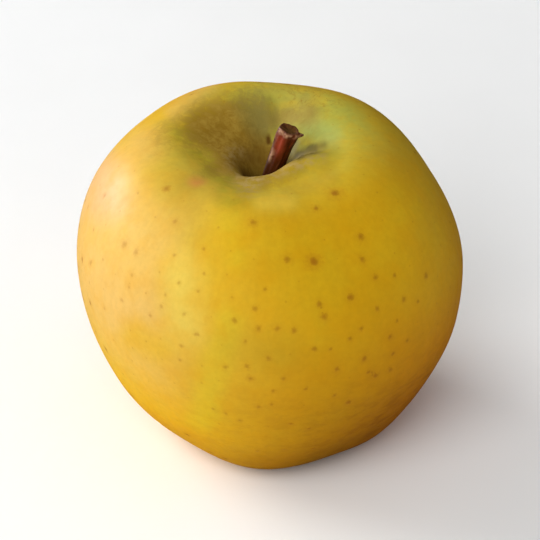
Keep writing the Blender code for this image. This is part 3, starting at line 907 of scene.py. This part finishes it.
def stem_material():
    material, tree, shader = new_material("stem bark")
    where = object_place(tree)
    grain = attribute(tree, "grain", "Vector")
    fibre = noise(tree, grain, scale=1.0, detail=4.0, roughness=0.65, distortion=0.3)
    blotch = noise(tree, where, scale=420.0, detail=3.0, roughness=0.55)
    tint = mix(tree, span(tree, blotch, 0.35, 0.65), BARK_BROWN, BARK_RED)
    # Painted shade: darker towards the foot, down in the pit
    tint = mix(tree, span(tree, attribute(tree, "along"), 0.48, 0.92, 0.95, 0.0), tint, BARK_FOOT_SHADE)
    # Redder bark on the lit front left, partly painted light
    tint = laid_over(tree, tint, [("flush_and_light", BARK_FLUSH_AND_LIGHT)])
    scratch = noise(tree, where, scale=900.0, detail=2.0, roughness=0.5)
    # Worn paler bark, partly a painted highlight on the lit left
    tint = mix(tree, broken(tree, "pale_sheen", span(tree, scratch, 0.40, 0.62)), tint, BARK_WORN_AND_SHEEN)
    tint = mix(tree, span(tree, fibre, 0.56, 0.72, 0.0, 0.40), tint, BARK_RIDGE)
    tint = mix(tree, span(tree, fibre, 0.42, 0.30, 0.0, 0.6), tint, BARK_GROOVE)
    cut = attribute(tree, "cut")
    tint = mix(tree, cut, tint, mix(tree, span(tree, fibre, 0.35, 0.65), CUT_DARK, CUT_LIGHT))
    rough = span(tree, fibre, 0.3, 0.7, 0.42, 0.62)
    rough = calc(tree, "ADD", rough, calc(tree, "MULTIPLY", cut, 0.3), clamp=True)
    fine = noise(tree, where, scale=2600.0, detail=3.0, roughness=0.6)
    relief = bump(tree, fibre, distance=0.00022, strength=0.7)
    relief = bump(tree, fine, distance=0.00005, strength=0.6, under=relief)
    connect(tree, shader, tint, rough, relief)
    set_inputs(shader, IOR=1.45, Specular_IOR_Level=0.22)
    return material


def make_stem(skin):
    """Stalk with ridges along it, a flared foot in the pit and a slanted, lipped end."""
    foot = skin.points[0].mean(axis=0) - (0.0, 0.0, SOCKET_DEPTH - CLEARANCE)
    top = np.array(STEM_TOP)
    share, angle = loft_grid(STEM_ROWS, STEM_SIDES)
    radius = np.interp(share, *zip(*STEM_RADII))
    reach = radius
    for waves, size, turns in STEM_RIDGES:
        reach = reach + size * np.cos(waves * angle + turns * share)
    for size, middle, extent, side, spread in STEM_BUMPS:
        reach = reach + size * hump(share, middle, extent) * hump(angle, side, spread)
    slant = -STEM_TIP_SLOPE * ramp(share, 0.7, 1.0) * radius * np.cos(angle)
    x = foot[0] + (top[0] - foot[0]) * share ** STEM_BEND + reach * np.cos(angle)
    y = foot[1] + (top[1] - foot[1]) * share ** STEM_BEND + reach * np.sin(angle)
    z = foot[2] + (top[2] - foot[2]) * share + slant
    rings = np.stack([x, y, z], axis=-1)
    centre = rings[-1].mean(axis=0)
    end = [centre + (rings[-1] - centre) * inset + (0.0, 0.0, rise) for inset, rise in STEM_END]
    mesh = grid_mesh("stem_bark", np.concatenate([rings, np.array(end)])[::-1])

    # Masks, from the end to the foot as the rings lie
    along = np.r_[share[:, 0], np.ones(len(STEM_END))][::-1]
    cut = np.r_[np.zeros(STEM_ROWS), np.linspace(0.3, 1.0, len(STEM_END))][::-1]
    along, cut, around = np.broadcast_arrays(along[:, None], cut[:, None], angle[:1])
    # A paler ring under the cut end; the marks add redder and paler bark on the lit side, partly painted
    # light
    masks = {"flush_and_light": 0.0, "pale_sheen": 0.9 * hump(along, 0.975, 0.035) * (1.0 - cut)}
    for name, bearing, spread, middle, extent, weight in STEM_MARKS:
        side = hump(bearing_from(np.degrees(around), bearing), 0.0, spread)
        masks[name] = masks[name] + weight * side * hump(along, middle, extent)
    grain = np.stack([np.cos(around) * 3.2, np.sin(around) * 3.2, along * 5.0], axis=-1)
    for name, grid in {**masks, "along": along, "cut": cut, "grain": grain}.items():
        store(mesh, name, grid)
    piece = place("stem_bark", mesh, stem_material())
    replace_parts(piece, "stem")


def calyx_material():
    material, tree, shader = new_material("dried sepals")
    where = object_place(tree)
    grain = attribute(tree, "grain", "Vector")
    vein = noise(tree, grain, scale=1.0, detail=4.0, roughness=0.65, distortion=0.4)
    blotch = noise(tree, where, scale=700.0, detail=3.0, roughness=0.6)
    fuzz = noise(tree, where, scale=3600.0, detail=2.0, roughness=0.7)
    tint = mix(tree, span(tree, blotch, 0.3, 0.7), SEPAL_DARK, SEPAL_BROWN)
    tint = mix(tree, span(tree, vein, 0.55, 0.75, 0.0, 0.6), tint, SEPAL_VEIN)
    tint = mix(tree, span(tree, attribute(tree, "along"), 0.55, 1.0, 0.0, 0.6), tint, SEPAL_TIP)
    tint = mix(tree, span(tree, fuzz, 0.58, 0.78, 0.0, 0.45), tint, SEPAL_FUZZ)
    relief = bump(tree, vein, distance=0.00020, strength=0.8)
    relief = bump(tree, fuzz, distance=0.00008, strength=0.8, under=relief)
    connect(tree, shader, tint, span(tree, vein, 0.3, 0.7, 0.74, 0.92), relief)
    return material


def sepal_rings(eye, bearing, length, curl, twist, draw):
    """Rings of one dried sepal: it hangs from the eye's rim, closes in, and curls out at its tip."""
    share, angle = loft_grid(SEPAL_ROWS, SEPAL_SIDES)
    course = np.array([(out, down * length, wide, thick) for out, down, wide, thick in SEPAL_COURSE])
    course[-1, 0] += curl
    course[-2, 0] += 0.4 * curl
    course = smooth_curve(course, SEPAL_ROWS)
    heading = np.gradient(course[:, :2], axis=0)
    heading /= np.linalg.norm(heading, axis=1)[:, None]
    turn = math.radians(bearing) + math.radians(twist) * share
    outward = np.stack([np.cos(turn), np.sin(turn), 0.0 * turn], axis=-1)
    across = np.stack([-np.sin(turn), np.cos(turn), 0.0 * turn], axis=-1)
    up = np.array([0.0, 0.0, 1.0])
    course[:, 2] *= 1.0 - 0.72 * ramp(share[:, 0], 0.70, 1.0)
    course[:, 3] *= 1.0 - 0.65 * ramp(share[:, 0], 0.55, 1.0)
    radius, drop, half_width, half_thick = (course[:, k][:, None, None] for k in range(4))
    middle = eye + outward * radius - up * drop
    thick = outward * heading[:, 1][:, None, None] + up * heading[:, 0][:, None, None]
    phase = draw.uniform(0.0, 2.0 * math.pi, 3)
    edge = 1.0 + 0.10 * np.sin(17.0 * share + phase[0]) * np.abs(np.cos(angle)) ** 3
    cup = 0.35 * half_width * (np.cos(angle)[..., None] ** 2 - 0.5)
    wrinkle = 0.00007 * np.sin(5.0 * angle + 9.0 * share + phase[1])
    wrinkle = wrinkle + 0.00005 * np.sin(3.0 * angle - 14.0 * share + phase[2])
    flat = half_width * (np.cos(angle) * edge)[..., None]
    deep = half_thick * 0.62 * np.sin(angle)[..., None] + wrinkle[..., None] - cup * 0.6
    return middle + across * flat + thick * deep


def cup_rings(eye, eye_radius):
    """Rings of the puckered cup that fills the eye."""
    share, angle = loft_grid(CUP_ROWS, CUP_SIDES)
    radius = (eye_radius - 0.0001) * (1.0 - 0.80 * ramp(share, 0.45, 1.0))
    radius = radius * (1.0 + 0.05 * ramp(share, 0.2, 0.7) * np.cos(10.0 * angle + 3.0 * share))
    height = EYE_DEPTH * 0.8 * (1.0 - share) - 0.0006 * hump(share, 0.55, 0.4)
    height = height + 0.0011 * ramp(share, 0.65, 1.0)
    return eye + np.stack([radius * np.cos(angle), radius * np.sin(angle), height], axis=-1)


def stamen_rings(eye, turn, length, lean):
    """Rings of one stamen, a thread with a thicker tip."""
    share, angle = loft_grid(STAMEN_ROWS, STAMEN_SIDES)
    thick = 0.00013 + 0.00012 * hump(share, 0.94, 0.10)
    out = 0.0010 + 0.0004 * np.sin(3.0 * share) + lean * share ** 2
    x = np.cos(turn) * out + thick * np.cos(angle)
    y = np.sin(turn) * out + thick * np.sin(angle)
    return eye + np.stack([x, y, 0.0004 - length * share], axis=-1)


def make_calyx(skin):
    """The dried flower: a puckered cup in the eye, five sepals and a tuft of stamens."""
    draw = np.random.default_rng(CALYX_SEED)
    eye = skin.points[-1].mean(axis=0)
    eye_radius = np.linalg.norm(skin.points[-1] - eye, axis=1).mean()
    finish = calyx_material()

    def dress(name, rings):
        mesh = grid_mesh(name, rings)
        along, angle = loft_grid(*rings.shape[:2])
        store(mesh, "along", along)
        store(mesh, "grain", np.stack([np.cos(angle) * 3.0, np.sin(angle) * 3.0, along * 4.0], axis=-1))
        piece = place(name, mesh, finish)
        return piece

    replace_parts(dress("calyx_cup", cup_rings(eye, eye_radius)), "calyx")
    for k in range(SEPAL_COUNT):
        bearing = SEPAL_BEARING + 360.0 / SEPAL_COUNT * k + draw.uniform(-SEPAL_STRAY, SEPAL_STRAY)
        length = draw.uniform(*SEPAL_LENGTHS)
        curl = draw.uniform(*SEPAL_CURLS)
        twist = draw.uniform(-SEPAL_TWIST, SEPAL_TWIST)
        dress(f"sepal_{k + 1}", sepal_rings(eye, bearing, length, curl, twist, draw))
    for k in range(STAMEN_COUNT):
        turn = 2.0 * math.pi * k / STAMEN_COUNT + draw.uniform(-STAMEN_STRAY, STAMEN_STRAY)
        length = draw.uniform(*STAMEN_LENGTHS)
        lean = draw.uniform(-STAMEN_LEAN, STAMEN_LEAN)
        dress(f"stamen_{k + 1:02d}", stamen_rings(eye, turn, length, lean))


def floor_material():
    material, tree, shader = new_material("pale floor")
    speckle = noise(tree, object_place(tree), scale=30.0, detail=2.0, roughness=0.5)
    tint = mix(tree, span(tree, speckle, 0.3, 0.7, 0.0, 0.04), FLOOR_PALE, FLOOR_SPECK)
    tree.links.new(tint, shader.inputs["Base Color"])
    set_inputs(shader, Roughness=0.7)
    return material


def make_stage():
    mesh = bpy.data.meshes.new("floor")
    half = FLOOR_HALF_WIDTH
    corners = [(-half, -half, 0.0), (half, -half, 0.0), (half, half, 0.0), (-half, half, 0.0)]
    mesh.from_pydata(corners, [], [(0, 1, 2, 3)])
    floor = bpy.data.objects.new("floor", mesh)
    floor.location.z = -FLOOR_GAP
    bpy.context.scene.collection.objects.link(floor)
    mesh.materials.append(floor_material())
    floor.visible_glossy = False


def make_lamp(name, position, width, height, power, mirrored, lighting):
    lamp = bpy.data.lights.new(name, "AREA")
    lamp.shape = "RECTANGLE"
    lamp.size = width
    lamp.size_y = height
    lamp.energy = power
    item = bpy.data.objects.new(name, lamp)
    item.location = position
    item.visible_glossy = mirrored
    item.visible_diffuse = lighting
    item.rotation_euler = (Vector(LAMP_AIM) - Vector(position)).to_track_quat("-Z", "Y").to_euler()
    bpy.context.scene.collection.objects.link(item)


def make_lights():
    for row in LAMPS:
        make_lamp(*row)
    world = bpy.data.worlds.new("studio")
    bpy.context.scene.world = world
    world.use_nodes = True
    world.cycles_visibility.glossy = False
    tree = world.node_tree
    sky = tree.nodes["Background"]
    sky.inputs["Color"].default_value = SKY_COLOUR
    mirrored = add(tree, "ShaderNodeLightPath").outputs["Is Glossy Ray"]
    strength = span(tree, mirrored, 0.0, 1.0, SKY_STRENGTH, SKY_STRENGTH_MIRRORED)
    tree.links.new(strength, sky.inputs["Strength"])


def make_camera():
    camera = bpy.data.cameras.new("camera")
    camera.sensor_width = SENSOR_WIDTH
    camera.lens = SENSOR_WIDTH * PHOTO_DISTANCE / FRAME_WIDTH
    camera.clip_start = CLIP_NEAR
    camera.clip_end = CLIP_FAR
    item = bpy.data.objects.new("camera", camera)
    back = Vector(camera_axes()[2])
    item.location = Vector(AIM) + back * PHOTO_DISTANCE
    item.rotation_euler = back.to_track_quat("Z", "Y").to_euler()
    bpy.context.scene.collection.objects.link(item)
    bpy.context.scene.camera = item


make_camera()
make_stage()
make_lights()
skin = make_fruit()
make_stem(skin)
make_calyx(skin)
bpy.context.scene.view_settings.view_transform = "Standard"
